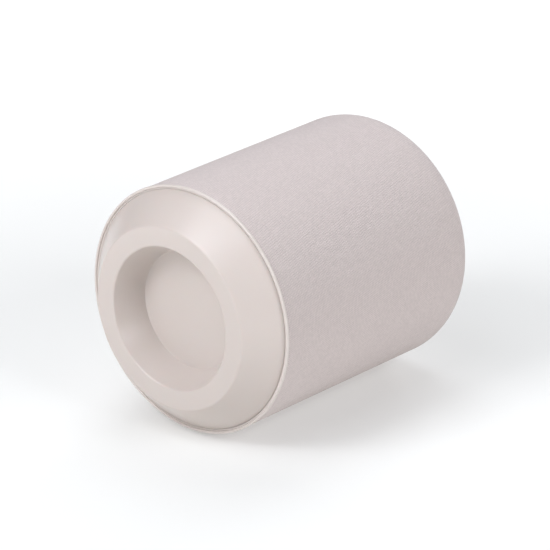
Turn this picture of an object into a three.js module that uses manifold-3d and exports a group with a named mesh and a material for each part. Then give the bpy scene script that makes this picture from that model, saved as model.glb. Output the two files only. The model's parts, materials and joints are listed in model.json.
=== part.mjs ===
// A portable speaker lying on its side: a fabric-covered can with a tapered, hollow base cap at -X
// and a control panel at +X. Millimetres, +Z up, the can's axis along X, the floor at z = 0.
import * as THREE from "three";
import { mergeVertices } from "three/addons/utils/BufferGeometryUtils.js";
import Module from "manifold-3d";

const wasm = await Module();
wasm.setup();

// Driving dimensions of the outside
const TOTAL_LENGTH = 101.2;
const BODY_RADIUS = 40; // outside of the trim ring
const FOOT_PROUD = 1.2; // foot strip below the trim ring
const CAP_HEIGHT = 9.9; // cap face to trim ring plane
const CAP_BASE_RADIUS = 38.5;
const CAP_FACE_RADIUS = 29.5;
const RECESS_MOUTH_RADIUS = 23.1;
const RECESS_FLOOR_RADIUS = 19;
const RECESS_DEPTH = 10.14;
const SHOULDER_RADIUS = 9.6; // rounding at the control panel's end
const SLEEVE_RADIUS = 39.8;
const SLEEVE_THICKNESS = 0.6;

// Walls and clearances
const GAP = 0.3; // between pieces that touch
const TURNED_GAP = 0.1; // between turned pieces that fit inside each other
const WALL = 2; // cap and enclosure
const TUBE_WALL = 1.8;
const SCREW_RADIUS = 1;
const SCREW_HEAD_RADIUS = 1.9;
const SCREW_HEAD_HEIGHT = 1;
const SCREW_HOLE_RADIUS = SCREW_RADIUS + GAP;

// Stations along X
const CAP_FACE_X = -TOTAL_LENGTH / 2;
const RING_X = CAP_FACE_X + CAP_HEIGHT;
const END_X = TOTAL_LENGTH / 2;
const RING_FRONT_X = RING_X - 0.45;
const RING_BACK_X = RING_X + 0.35; // back of the trim ring's bead
const SLEEVE_START_X = RING_BACK_X + 0.25;
const CAP_LEDGE_X = RING_X + 0.4;
const TUBE_START_X = RING_X + 1.8;
const BAFFLE_X = 28.4; // back face of the enclosure's front flange
const REAR_FLANGE_X = -24; // face that the passive radiator is glued to
const PANEL_X = 50; // face of the control panel
const PANEL_THICKNESS = 2;
const PANEL_BACK_X = PANEL_X - PANEL_THICKNESS;
const PANEL_LEDGE_BACK_X = 45.9; // back of the tube's ledge under the control panel
const KEY_BOARD_X = 42.6; // underside of the key board
const KEY_BOARD_THICKNESS = 1.2;
const KEY_BOARD_SEAT_X = KEY_BOARD_X + KEY_BOARD_THICKNESS + GAP; // where its components start
const PORT_X = -9; // middle of the port pocket
const USB_X = -16;
const AUX_X = -3;

// Radii
const TUBE_RADIUS = SLEEVE_RADIUS - SLEEVE_THICKNESS - GAP;
const TUBE_INNER_RADIUS = TUBE_RADIUS - TUBE_WALL;
const PLUG_RADIUS = TUBE_INNER_RADIUS - GAP; // what slides into the tube
const PANEL_RADIUS = 28.3;
const KEY_BOARD_RADIUS = 25.8;
const ENCLOSURE_RADIUS = 34.6;
const ENCLOSURE_INNER_RADIUS = ENCLOSURE_RADIUS - WALL;
const SHOULDER_CENTRE_RADIUS = SLEEVE_RADIUS - SHOULDER_RADIUS;
const SHOULDER_START_X = END_X - SHOULDER_RADIUS;

// Fastener places: radius from the axis, and degrees from +Y towards +Z
const DRIVER_SCREW_CIRCLE = 28.9;
const DRIVER_SCREW_ANGLES = [45, 135, 225, 315];
const DEFLECTOR_SCREW_CIRCLE = 31.3;
const DEFLECTOR_SCREW_ANGLES = [60, 240];
const BOARD_SCREW_CIRCLE = 22.6;
const BOARD_SCREW_ANGLES = [45, 135, 225];

const AXIS_HEIGHT = BODY_RADIUS + FOOT_PROUD;
const ROUND_STEPS = 40;
const INNER_STEPS = 24;
const SMALL_STEPS = 10;
const REACH = 60; // longer than any cutter needs to be
const CUT_FROM_RADIUS = 30; // cutters through the tube and the sleeve run from here
const CUT_TO_RADIUS = 45;

function plastic(color, roughness) {
  return new THREE.MeshStandardMaterial({ color, roughness, metalness: 0 });
}

function metal(color, roughness) {
  return new THREE.MeshStandardMaterial({ color, roughness, metalness: 1 });
}

const ivory = plastic(0xdcd6cf, 0.4);
const ringIvory = plastic(0xe4dfd9, 0.35);
const fabric = plastic(0xd6cdca, 0.95);
const silicone = plastic(0xcfc8c1, 0.75);
const innerPlastic = plastic(0x2b2c2e, 0.6);
const clearPlastic = plastic(0xeef2f4, 0.15);
const rubber = plastic(0x1d1d1e, 0.8);
const paper = plastic(0x3a3836, 0.9);
const spiderCloth = plastic(0xb88a4a, 0.9);
const boardGreen = plastic(0x1f5a3a, 0.5);
const cellWrap = plastic(0x3566a8, 0.4);
const leadWrap = plastic(0xa32a2a, 0.5);
const flexAmber = plastic(0xc07a2c, 0.4);
const ferrite = plastic(0x3b3b3d, 0.7);
const steel = metal(0xa9adb2, 0.4);
const zinc = metal(0xc5c9cd, 0.35);
const copper = metal(0xb8703c, 0.4);

// ---------- shape helpers: the can's axis is X, and profiles are lists of [radius, x] ----------

function arc(centreRadius, centreX, radius, fromDegrees, toDegrees, steps) {
  const points = [];
  for (let i = 0; i <= steps; i++) {
    const angle = THREE.MathUtils.degToRad(fromDegrees + ((toDegrees - fromDegrees) * i) / steps);
    points.push([centreRadius + radius * Math.cos(angle), centreX + radius * Math.sin(angle)]);
  }
  return points;
}

function signedArea(profile) {
  let twice = 0;
  profile.forEach(([r, x], i) => {
    const [nextR, nextX] = profile[(i + 1) % profile.length];
    twice += r * nextX - nextR * x;
  });
  return twice / 2;
}

// Turns a closed profile round the X axis. A profile that touches the axis begins and ends on it.
function turned(profile, steps = ROUND_STEPS) {
  const ordered = signedArea(profile) < 0 ? [...profile].reverse() : [...profile];
  const solidCore = profile[0][0] === 0;
  if (!solidCore) ordered.push(ordered[0]);
  const points = ordered.map(([r, x]) => new THREE.Vector2(r, x));
  return new THREE.LatheGeometry(points, steps).rotateZ(-Math.PI / 2);
}

function ring(innerRadius, outerRadius, fromX, toX, steps = ROUND_STEPS) {
  const profile = [
    [innerRadius, fromX],
    [outerRadius, fromX],
    [outerRadius, toX],
    [innerRadius, toX],
  ];
  return turned(profile, steps);
}

function disc(radius, fromX, toX, steps = ROUND_STEPS) {
  const profile = [
    [0, fromX],
    [radius, fromX],
    [radius, toX],
    [0, toX],
  ];
  return turned(profile, steps);
}

function box(fromX, toX, fromY, toY, fromZ, toZ) {
  const geometry = new THREE.BoxGeometry(toX - fromX, toY - fromY, toZ - fromZ);
  return geometry.translate((fromX + toX) / 2, (fromY + toY) / 2, (fromZ + toZ) / 2);
}

// A slot-shaped outline along X, centred on (x, z), extruded from one y to another.
function slotAlongY(x, z, length, width, fromY, toY, steps = 5) {
  const radius = width / 2;
  const straight = length / 2 - radius;
  const shape = new THREE.Shape();
  shape.absarc(straight, 0, radius, -Math.PI / 2, Math.PI / 2, false);
  shape.absarc(-straight, 0, radius, Math.PI / 2, Math.PI * 1.5, false);
  const options = { depth: toY - fromY, bevelEnabled: false, curveSegments: steps };
  const geometry = new THREE.ExtrudeGeometry(shape, options).rotateX(-Math.PI / 2);
  return geometry.translate(x, fromY, z);
}

function rodAlongY(x, z, radius, fromY, toY, steps = SMALL_STEPS) {
  const geometry = new THREE.CylinderGeometry(radius, radius, toY - fromY, steps);
  return geometry.translate(x, (fromY + toY) / 2, z);
}

// The same geometry moved off the axis to a radius and an angle from +Y towards +Z.
function atAngle(geometry, radius, degrees) {
  const angle = THREE.MathUtils.degToRad(degrees);
  return geometry.translate(0, radius * Math.cos(angle), radius * Math.sin(angle));
}

// A block made for angle 0, where radial is +Y, swung round the X axis.
function swung(geometry, degrees) {
  return geometry.rotateX(THREE.MathUtils.degToRad(degrees));
}

function toSolid(geometry) {
  const bare = geometry.clone();
  bare.deleteAttribute("normal");
  bare.deleteAttribute("uv");
  const merged = mergeVertices(bare, 1e-4);
  return new wasm.Manifold(
    new wasm.Mesh({
      numProp: 3,
      vertProperties: merged.attributes.position.array,
      triVerts: new Uint32Array(merged.index.array),
    }),
  );
}

function toGeometry(solid) {
  const mesh = solid.getMesh();
  const geometry = new THREE.BufferGeometry();
  geometry.setAttribute("position", new THREE.BufferAttribute(mesh.vertProperties, 3));
  geometry.setIndex(new THREE.BufferAttribute(mesh.triVerts, 1));
  geometry.computeVertexNormals();
  return geometry;
}

function cut(geometry, cutters) {
  return toGeometry(cutters.reduce((solid, cutter) => solid.subtract(toSolid(cutter)), toSolid(geometry)));
}

function joined(geometries) {
  return toGeometry(geometries.map(toSolid).reduce((all, solid) => all.add(solid)));
}

function leadTube(points, radius) {
  const path = new THREE.CatmullRomCurve3(points.map((p) => new THREE.Vector3(...p)));
  const section = new THREE.Shape().absarc(0, 0, radius, 0, Math.PI * 2);
  const options = { steps: 9, curveSegments: 4, bevelEnabled: false, extrudePath: path };
  return new THREE.ExtrudeGeometry(section, options);
}

// A flat ribbon that bends in the XY plane, from its middle line and its thickness.
function ribbon(points, thickness, width) {
  const sides = points.map(([x, y], i) => {
    const [beforeX, beforeY] = points[Math.max(i - 1, 0)];
    const [afterX, afterY] = points[Math.min(i + 1, points.length - 1)];
    const along = new THREE.Vector2(afterX - beforeX, afterY - beforeY).normalize();
    const across = new THREE.Vector2(-along.y, along.x).multiplyScalar(thickness / 2);
    const middle = new THREE.Vector2(x, y);
    return { left: middle.clone().add(across), right: middle.clone().sub(across) };
  });
  const outline = [...sides.map((s) => s.left), ...sides.map((s) => s.right).reverse()];
  const shape = new THREE.Shape(outline);
  const geometry = new THREE.ExtrudeGeometry(shape, { depth: width, bevelEnabled: false });
  return geometry.translate(0, 0, -width / 2);
}

// A pan-head screw along X: the head's inner face is at headX, and the shank runs to tipX.
function screw(headX, tipX) {
  const outward = Math.sign(headX - tipX);
  const top = headX + outward * SCREW_HEAD_HEIGHT;
  const profile = [
    [0, top],
    [SCREW_HEAD_RADIUS * 0.7, top],
    [SCREW_HEAD_RADIUS, headX + outward * SCREW_HEAD_HEIGHT * 0.5],
    [SCREW_HEAD_RADIUS, headX],
    [SCREW_RADIUS, headX],
    [SCREW_RADIUS, tipX],
    [0, tipX],
  ];
  return turned(profile, SMALL_STEPS);
}

function screwHole(fromX, toX) {
  return disc(SCREW_HOLE_RADIUS, fromX, toX, SMALL_STEPS);
}

const body = new THREE.Group();
body.position.z = AXIS_HEIGHT;

function add(name, geometry, material) {
  const mesh = new THREE.Mesh(geometry, material);
  mesh.name = name;
  body.add(mesh);
}

// ---------- outside ----------

const FOOT_LENGTH = 60;
const FOOT_WIDTH = 16;
const BEZEL_LENGTH = 37;
const BEZEL_WIDTH = 15.6;
const PORT_FACE_Y = 39.6;
const FLAP_LENGTH = 31.4;
const FLAP_WIDTH = 10;
const SNAP_X = RING_X + 3.2;
const SNAP_ANGLES = [45, 135, 225, 315];
const TAB_HALF_WIDTH = 3.5;

// Tapered shell, open towards the can, with the recess standing up inside it and a plug-in skirt.
function baseCap() {
  const mouthRounding = 0.9;
  const edgeRounding = 1.6;
  const floorX = CAP_FACE_X + RECESS_DEPTH;
  const skirtEndX = RING_X + 4.7;
  const innerFaceX = CAP_FACE_X + WALL;
  const outside = [
    [PLUG_RADIUS, skirtEndX],
    [PLUG_RADIUS, CAP_LEDGE_X],
    [CAP_BASE_RADIUS, CAP_LEDGE_X],
    [CAP_BASE_RADIUS, RING_X],
    [CAP_FACE_RADIUS + 0.45, CAP_FACE_X + edgeRounding * 0.55],
    [CAP_FACE_RADIUS - 0.25, CAP_FACE_X + 0.15],
    [CAP_FACE_RADIUS - 1, CAP_FACE_X],
    [RECESS_MOUTH_RADIUS + mouthRounding, CAP_FACE_X],
    [RECESS_MOUTH_RADIUS + 0.1, CAP_FACE_X + 0.3],
    [RECESS_MOUTH_RADIUS - mouthRounding * 0.4, CAP_FACE_X + mouthRounding],
    [RECESS_FLOOR_RADIUS + 0.35, floorX - mouthRounding],
    [RECESS_FLOOR_RADIUS - mouthRounding, floorX],
    [0, floorX],
  ];
  const inside = [
    [0, floorX + WALL],
    [RECESS_FLOOR_RADIUS + 1.35, floorX + WALL],
    [RECESS_MOUTH_RADIUS + 1.35, innerFaceX],
    [CAP_FACE_RADIUS - 1, innerFaceX],
    [PLUG_RADIUS - WALL, RING_X - 0.9],
    [PLUG_RADIUS - WALL, skirtEndX],
  ];
  const tab = () =>
    box(SNAP_X - 0.6, SNAP_X + 0.6, PLUG_RADIUS - 1, PLUG_RADIUS + 1.4, -TAB_HALF_WIDTH, TAB_HALF_WIDTH);
  const tabs = SNAP_ANGLES.map((degrees) => swung(tab(), degrees));
  return joined([turned([...inside, ...outside].reverse()), ...tabs]);
}

// Rounded bead on a thin web, with a flange clamped between the cap's ledge and the tube's end.
function trimRing() {
  const noseRadius = 0.475;
  const nose = arc(BODY_RADIUS - noseRadius, RING_FRONT_X + noseRadius, noseRadius, 0, -180, 4);
  const grooveX = RING_X + 0.05;
  const webInnerRadius = CAP_BASE_RADIUS + TURNED_GAP;
  const webOuterRadius = SLEEVE_RADIUS - SLEEVE_THICKNESS - TURNED_GAP;
  const flangeFrontX = CAP_LEDGE_X + GAP;
  const flangeBackX = TUBE_START_X - GAP;
  const rest = [
    [BODY_RADIUS - 2 * noseRadius, grooveX],
    [webInnerRadius, grooveX],
    [webInnerRadius, flangeFrontX],
    [PLUG_RADIUS + GAP, flangeFrontX],
    [PLUG_RADIUS + GAP, flangeBackX],
    [webOuterRadius, flangeBackX],
    [webOuterRadius, RING_BACK_X],
    [BODY_RADIUS, RING_BACK_X],
  ];
  return turned([...nose, ...rest]);
}

function foot(grow, fromZ, toZ) {
  const outline = slotAlongY(0, 0, FOOT_LENGTH + grow, FOOT_WIDTH + grow, fromZ, toZ);
  return outline.rotateX(Math.PI / 2);
}

function portOpening(grow) {
  const length = BEZEL_LENGTH + grow;
  return slotAlongY(PORT_X, 0, length, BEZEL_WIDTH + grow, CUT_FROM_RADIUS, CUT_TO_RADIUS);
}

function fabricSleeve() {
  const outer = arc(SHOULDER_CENTRE_RADIUS, SHOULDER_START_X, SHOULDER_RADIUS, 0, 90, 5);
  const innerRadius = SHOULDER_RADIUS - SLEEVE_THICKNESS;
  const inner = arc(SHOULDER_CENTRE_RADIUS, SHOULDER_START_X, innerRadius, 90, 0, 5);
  const start = [
    [SLEEVE_RADIUS - SLEEVE_THICKNESS, SLEEVE_START_X],
    [SLEEVE_RADIUS, SLEEVE_START_X],
  ];
  const skin = turned([...start, ...outer, ...inner]);
  return cut(skin, [portOpening(2 * GAP), foot(2 * GAP, -CUT_TO_RADIUS, -CUT_FROM_RADIUS)]);
}

// Windows that let the sound out: short bands of them in front of the driver and the radiator.
function soundWindows() {
  const bands = [
    { fromX: 32.2, toX: 37.6 },
    { fromX: 39.4, toX: 44.2 },
    { fromX: -35, toX: -28.4 },
  ];
  const windowsInBand = 16;
  const halfWidth = 4.6;
  const footAngle = 270;
  const clearAngle = 18;
  const cutters = [];
  for (const { fromX, toX } of bands) {
    for (let i = 0; i < windowsInBand; i++) {
      const degrees = ((i + 0.5) * 360) / windowsInBand;
      const overFoot = fromX < 0 && Math.abs(degrees - footAngle) < clearAngle;
      if (overFoot) continue;
      cutters.push(swung(box(fromX, toX, CUT_FROM_RADIUS, CUT_TO_RADIUS, -halfWidth, halfWidth), degrees));
    }
  }
  return cutters;
}

// Stiff tube that carries the fabric, with a rounded shoulder and a ledge for the control panel.
function grilleTube() {
  const ledgeRadius = 26.5;
  const ledgeTopX = PANEL_BACK_X - 0.4;
  const outerShoulder = SHOULDER_RADIUS - SLEEVE_THICKNESS - GAP;
  const innerShoulder = outerShoulder - TUBE_WALL;
  const ledgeRise = (PANEL_LEDGE_BACK_X - SHOULDER_START_X) / innerShoulder;
  const ledgeAngle = THREE.MathUtils.radToDeg(Math.asin(ledgeRise));
  const outer = arc(SHOULDER_CENTRE_RADIUS, SHOULDER_START_X, outerShoulder, 0, 90, 4);
  const inner = arc(SHOULDER_CENTRE_RADIUS, SHOULDER_START_X, innerShoulder, ledgeAngle, 0, 2);
  const ledge = [
    [SHOULDER_CENTRE_RADIUS, ledgeTopX],
    [ledgeRadius, ledgeTopX],
    [ledgeRadius, PANEL_LEDGE_BACK_X],
  ];
  const start = [
    [TUBE_INNER_RADIUS, TUBE_START_X],
    [TUBE_RADIUS, TUBE_START_X],
  ];
  const tube = turned([...start, ...outer, ...ledge, ...inner]);
  const slotHalf = TAB_HALF_WIDTH + 0.5;
  const snapSlot = () =>
    box(SNAP_X - 0.9, SNAP_X + 0.9, CUT_FROM_RADIUS, CUT_TO_RADIUS, -slotHalf, slotHalf);
  const screwHoles = DEFLECTOR_SCREW_ANGLES.map((degrees) =>
    atAngle(screwHole(PANEL_LEDGE_BACK_X - 1, ledgeTopX + 1), DEFLECTOR_SCREW_CIRCLE, degrees),
  );
  return cut(tube, [
    portOpening(2 * GAP),
    ...soundWindows(),
    ...SNAP_ANGLES.map((degrees) => swung(snapSlot(), degrees)),
    ...screwHoles,
  ]);
}

// Flat underneath and hollowed on top to the tube's roundness.
function footStrip() {
  const top = -36;
  const strip = foot(0, -AXIS_HEIGHT, top);
  return cut(strip, [disc(TUBE_RADIUS + GAP, -REACH, REACH)]);
}

// ---------- control panel end ----------

const KEY_PROUD = 0.35;
const KEY_FLANGE = 0.8;
const KEY_STEPS = 16;
const LIGHT_GUIDE_RADIUS = 1.1;
const SOUND_HOLE_RADIUS = 0.6;
const KEYS = [
  { name: "play", radius: 7.5, circle: 0, degrees: 0 },
  { name: "mode", radius: 4.5, circle: 17.5, degrees: 0 },
  { name: "minus", radius: 4.5, circle: 17.5, degrees: 90 },
  { name: "power", radius: 4.5, circle: 17.5, degrees: 180 },
  { name: "plus", radius: 4.5, circle: 17.5, degrees: 270 },
];
const LIGHT = { circle: 18, degrees: 135 };
const MICROPHONE = { circle: 18, degrees: 315 };

function controlPanel() {
  const bossRadius = 2.2;
  const lightHoleRadius = LIGHT_GUIDE_RADIUS + GAP;
  const plate = disc(PANEL_RADIUS, PANEL_BACK_X, PANEL_X);
  const boss = () => disc(bossRadius, KEY_BOARD_SEAT_X, PANEL_BACK_X + 0.5, SMALL_STEPS);
  const bosses = BOARD_SCREW_ANGLES.map((degrees) => atAngle(boss(), BOARD_SCREW_CIRCLE, degrees));
  const keyHoles = KEYS.map(({ radius, circle, degrees }) =>
    atAngle(disc(radius + GAP, PANEL_BACK_X - 1, PANEL_X + 1, KEY_STEPS), circle, degrees),
  );
  const boardHoles = BOARD_SCREW_ANGLES.map((degrees) =>
    atAngle(screwHole(KEY_BOARD_SEAT_X - 1, PANEL_BACK_X), BOARD_SCREW_CIRCLE, degrees),
  );
  const lightHole = disc(lightHoleRadius, PANEL_BACK_X - 1, PANEL_X + 1, SMALL_STEPS);
  const soundHole = disc(SOUND_HOLE_RADIUS, PANEL_BACK_X - 1, PANEL_X + 1, SMALL_STEPS);
  return cut(joined([plate, ...bosses]), [
    ...keyHoles,
    ...boardHoles,
    atAngle(lightHole, LIGHT.circle, LIGHT.degrees),
    atAngle(soundHole, MICROPHONE.circle, MICROPHONE.degrees),
  ]);
}

function panelTrim() {
  const innerRadius = PANEL_RADIUS + GAP;
  const outerRadius = SHOULDER_CENTRE_RADIUS - GAP;
  const middle = (innerRadius + outerRadius) / 2;
  const half = (outerRadius - innerRadius) / 2;
  const crown = arc(middle, END_X - half, half, 0, 180, 4);
  const back = [
    [innerRadius, PANEL_BACK_X - 0.1],
    [outerRadius, PANEL_BACK_X - 0.1],
  ];
  return turned([...crown, ...back]);
}

// Key cap with a wider flange behind the panel, so that it can't fall out.
function key(radius) {
  const flangeTop = PANEL_BACK_X - GAP;
  const face = PANEL_X + KEY_PROUD;
  const edge = 0.3;
  const dish = 0.18;
  const profile = [
    [0, flangeTop - KEY_FLANGE],
    [radius + KEY_FLANGE, flangeTop - KEY_FLANGE],
    [radius + KEY_FLANGE, flangeTop],
    [radius, flangeTop],
    [radius, face - edge],
    [radius - edge, face],
    [radius / 2, face - dish * 0.7],
    [0, face - dish],
  ];
  return turned(profile, KEY_STEPS);
}

function tactSwitch() {
  const halfWidth = 3;
  const housingHeight = 1.9;
  const plungerTop = KEY_BOARD_SEAT_X + 2.3;
  const housing = box(
    KEY_BOARD_SEAT_X,
    KEY_BOARD_SEAT_X + housingHeight,
    -halfWidth,
    halfWidth,
    -halfWidth,
    halfWidth,
  );
  const plunger = disc(1.6, plungerTop - 0.8, plungerTop, SMALL_STEPS);
  return joined([housing, plunger]);
}

function keyBoard() {
  const holes = BOARD_SCREW_ANGLES.map((degrees) =>
    atAngle(screwHole(KEY_BOARD_X - 1, KEY_BOARD_X + 2), BOARD_SCREW_CIRCLE, degrees),
  );
  const board = disc(KEY_BOARD_RADIUS, KEY_BOARD_X, KEY_BOARD_X + KEY_BOARD_THICKNESS, INNER_STEPS);
  return cut(board, holes);
}

function lightGuide() {
  const footX = KEY_BOARD_SEAT_X + 1.2; // just over the status LED
  const footRadius = 1.8;
  const profile = [
    [0, footX],
    [footRadius, footX],
    [footRadius, footX + 1],
    [LIGHT_GUIDE_RADIUS, footX + 1],
    [LIGHT_GUIDE_RADIUS, PANEL_X - 0.1],
    [LIGHT_GUIDE_RADIUS - 0.3, PANEL_X],
    [0, PANEL_X],
  ];
  return turned(profile, SMALL_STEPS);
}

// Cup behind the key board with a blunt cone that turns the driver's sound outwards.
function soundDeflector() {
  const flangeFront = PANEL_LEDGE_BACK_X - GAP;
  const flangeBack = flangeFront - 1.4;
  const flangeRadius = 34;
  const cupRadius = 28.2;
  const cupInnerRadius = KEY_BOARD_RADIUS + 0.6;
  const tipX = 34;
  const outside = [
    [flangeRadius, flangeFront],
    [flangeRadius, flangeBack],
    [cupRadius, flangeBack],
    [cupRadius, 40.4],
    [16, 37],
    [4, tipX + 0.2],
    [0, tipX],
  ];
  const inside = [
    [0, tipX + WALL],
    [24, 40.6],
    [cupInnerRadius, 40.8],
    [cupInnerRadius, flangeFront],
  ];
  const holes = DEFLECTOR_SCREW_ANGLES.map((degrees) =>
    atAngle(screwHole(flangeBack - 1, flangeFront + 1), DEFLECTOR_SCREW_CIRCLE, degrees),
  );
  const flexSlot = box(41.3, 42.9, 24, 30, -4.6, 4.6);
  return cut(turned([...inside, ...outside].reverse(), INNER_STEPS), [...holes, flexSlot]);
}

// ---------- enclosure ----------

const BOARD_SCREWS = [
  { x: 9, z: 11 },
  { x: -18, z: -11 },
];
const BOARD_INNER_Y = 25.5;
const BOARD_OUTER_Y = 27.1;
const USB_SHELL = { length: 9, width: 3.3 };
const USB_WALL = 0.3;
const AUX_BARREL_RADIUS = 3;
const SOCKET_MOUTH_Y = 36.1;
const AUX_STEPS = 24;
const FLEX_HALF_WIDTH = 4;
const FLEX_ROOM = FLEX_HALF_WIDTH + 2 * GAP;

const FLEX_RADIUS = 35.9; // where the key board's ribbon lies on the enclosure
const FLEX_SLOT_X = 13.5; // where it goes through the enclosure's wall

// Cutters for the two sockets, wider than them all round.
function socketHoles() {
  const toY = PORT_FACE_Y + 1;
  const usbLength = USB_SHELL.length + 2 * GAP;
  const usbHole = slotAlongY(USB_X, 0, usbLength, USB_SHELL.width + 2 * GAP, CUT_FROM_RADIUS, toY);
  const auxHole = rodAlongY(AUX_X, 0, AUX_BARREL_RADIUS + GAP, CUT_FROM_RADIUS, toY, AUX_STEPS);
  return [usbHole, auxHole];
}

function enclosure() {
  const frontFace = BAFFLE_X + WALL;
  const radiatorOpening = 27.2;
  const driverOpening = 25.5;
  const pillarRadius = 2.3;
  const pillarStart = BOARD_OUTER_Y + GAP;
  const pillarEnd = 31.4;
  const profile = [
    [radiatorOpening, REAR_FLANGE_X],
    [PLUG_RADIUS, REAR_FLANGE_X],
    [PLUG_RADIUS, REAR_FLANGE_X + WALL],
    [ENCLOSURE_RADIUS, REAR_FLANGE_X + WALL],
    [ENCLOSURE_RADIUS, BAFFLE_X],
    [PLUG_RADIUS, BAFFLE_X],
    [PLUG_RADIUS, frontFace],
    [driverOpening, frontFace],
    [driverOpening, BAFFLE_X],
    [ENCLOSURE_INNER_RADIUS, BAFFLE_X],
    [ENCLOSURE_INNER_RADIUS, REAR_FLANGE_X + WALL],
    [radiatorOpening, REAR_FLANGE_X + WALL],
  ];
  const pillars = BOARD_SCREWS.map(({ x, z }) => rodAlongY(x, z, pillarRadius, pillarStart, pillarEnd));
  const pillarHoles = BOARD_SCREWS.map(({ x, z }) =>
    rodAlongY(x, z, SCREW_HOLE_RADIUS, pillarStart - 1, pillarEnd - 1),
  );
  const driverHoles = DRIVER_SCREW_ANGLES.map((degrees) =>
    atAngle(screwHole(BAFFLE_X - 1, frontFace + 1), DRIVER_SCREW_CIRCLE, degrees),
  );
  const notchTop = PLUG_RADIUS + 1;
  const notchHalf = BEZEL_WIDTH / 2 + 2 * GAP;
  const notchFloor = ENCLOSURE_RADIUS + 0.05;
  const notchBack = REAR_FLANGE_X + WALL + 1;
  const bezelNotch = box(REAR_FLANGE_X - 1, notchBack, notchFloor, notchTop, -notchHalf, notchHalf);
  const flexNotch = box(BAFFLE_X - 1, frontFace + 1, FLEX_RADIUS - 0.6, notchTop, -FLEX_ROOM, FLEX_ROOM);
  const flexSlot = box(FLEX_SLOT_X - 0.9, FLEX_SLOT_X + 0.9, 31, 36, -FLEX_ROOM, FLEX_ROOM);
  return cut(joined([turned(profile), ...pillars]), [
    ...pillarHoles,
    ...driverHoles,
    ...socketHoles(),
    bezelNotch,
    flexNotch,
    flexSlot,
  ]);
}

// ---------- driver, facing +X ----------

const FLANGE_X = BAFFLE_X + WALL + GAP; // back of the basket's flange
const FLANGE_THICKNESS = 1;
const BASKET_RADIUS = 30.5;
const SPIDER_LEDGE_X = 20.4;
const PLATE_X = 14.7;
const PLATE_THICKNESS = 3;
const MAGNET_X = 7.5;
const COIL_INNER_RADIUS = 7.2;
const COIL_OUTER_RADIUS = 7.8;

function driverBasket() {
  const seatRadius = 24.2; // inside of the flange, under the surround
  const ledgeRadius = 17.4; // outside of the spider's ledge
  const dishX = 29.4;
  const backX = PLATE_X + PLATE_THICKNESS + GAP;
  const profile = [
    [BASKET_RADIUS, FLANGE_X],
    [BASKET_RADIUS, FLANGE_X + FLANGE_THICKNESS],
    [seatRadius, FLANGE_X + FLANGE_THICKNESS],
    [seatRadius, dishX],
    [ledgeRadius, SPIDER_LEDGE_X + 1.1],
    [ledgeRadius, SPIDER_LEDGE_X],
    [ledgeRadius - 2.2, SPIDER_LEDGE_X],
    [ledgeRadius - 2.2, backX + 1],
    [9, backX + 1],
    [9, backX],
    [ledgeRadius + 1.2, backX],
    [ledgeRadius + 1.2, SPIDER_LEDGE_X + 0.2],
    [seatRadius + 1, dishX - 0.6],
    [seatRadius + 1, FLANGE_X],
  ];
  const windowHalfWidth = 8;
  const window = () => box(22.4, 27.4, 10, CUT_FROM_RADIUS, -windowHalfWidth, windowHalfWidth);
  const windows = [0, 90, 180, 270].map((degrees) => swung(window(), degrees));
  const holes = DRIVER_SCREW_ANGLES.map((degrees) =>
    atAngle(screwHole(FLANGE_X - 1, FLANGE_X + 2), DRIVER_SCREW_CIRCLE, degrees),
  );
  return cut(turned(profile, INNER_STEPS), [...windows, ...holes]);
}

// Back plate with the pole that stands inside the voice coil.
function driverYoke() {
  const poleRadius = COIL_INNER_RADIUS - 0.4;
  const poleTop = PLATE_X + PLATE_THICKNESS;
  const plateFront = MAGNET_X - GAP;
  const plateRadius = 17.5;
  const profile = [
    [0, plateFront - 3],
    [plateRadius, plateFront - 3],
    [plateRadius, plateFront],
    [poleRadius, plateFront],
    [poleRadius, poleTop],
    [0, poleTop],
  ];
  return turned(profile, INNER_STEPS);
}

// Thin cone between the voice coil's neck and the surround.
function driverCone() {
  const thickness = 0.6;
  const neckRadius = COIL_OUTER_RADIUS + 0.4;
  const front = [
    [neckRadius, 24.5],
    [neckRadius + 1, 24.6],
    [18, 31.1],
    [19.2, 31.4],
  ];
  const back = front.map(([r, x]) => [r, x - thickness]).reverse();
  return turned([...front, ...back], INNER_STEPS);
}

function dustCap() {
  const centreX = 17.6;
  const radius = 12.6;
  const thickness = 0.5;
  const outer = arc(0, centreX, radius, 45, 90, 3);
  const inner = arc(0, centreX, radius - thickness, 90, 45, 3);
  return turned([...outer.reverse(), ...inner.reverse()], INNER_STEPS);
}

// Half-roll ring with a flat land at each edge. It rolls towards side * X.
function halfRoll(innerLand, rollInner, rollOuter, outerLand, landX, thickness, side) {
  const middle = (rollInner + rollOuter) / 2;
  const radius = (rollOuter - rollInner) / 2;
  const flatness = 0.85;
  const raised = (points, lift) => points.map(([r, x]) => [r, landX + side * (flatness * x + lift)]);
  const over = raised(arc(middle, 0, radius, 180, 0, 4), thickness);
  const under = raised(arc(middle, 0, radius - thickness, 0, 180, 4), 0);
  const profile = [
    [innerLand, landX + side * thickness],
    ...over,
    [outerLand, landX + side * thickness],
    [outerLand, landX],
    ...under,
    [innerLand, landX],
  ];
  return turned(profile, INNER_STEPS);
}

// Corrugated ring that centres the voice coil.
function spider() {
  const fromRadius = COIL_OUTER_RADIUS + 0.4;
  const toRadius = 17.1;
  const middleX = SPIDER_LEDGE_X + 0.55;
  const waveHeight = 0.35;
  const waves = 1.5;
  const thickness = 0.4;
  const steps = 6;
  const top = [];
  for (let i = 0; i <= steps; i++) {
    const t = i / steps;
    const wave = waveHeight * Math.sin(2 * Math.PI * waves * t);
    top.push([fromRadius + (toRadius - fromRadius) * t, middleX + wave + thickness / 2]);
  }
  const bottom = top.map(([r, x]) => [r, x - thickness]).reverse();
  return turned([...top, ...bottom], INNER_STEPS);
}

// ---------- passive radiator, facing -X ----------

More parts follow.
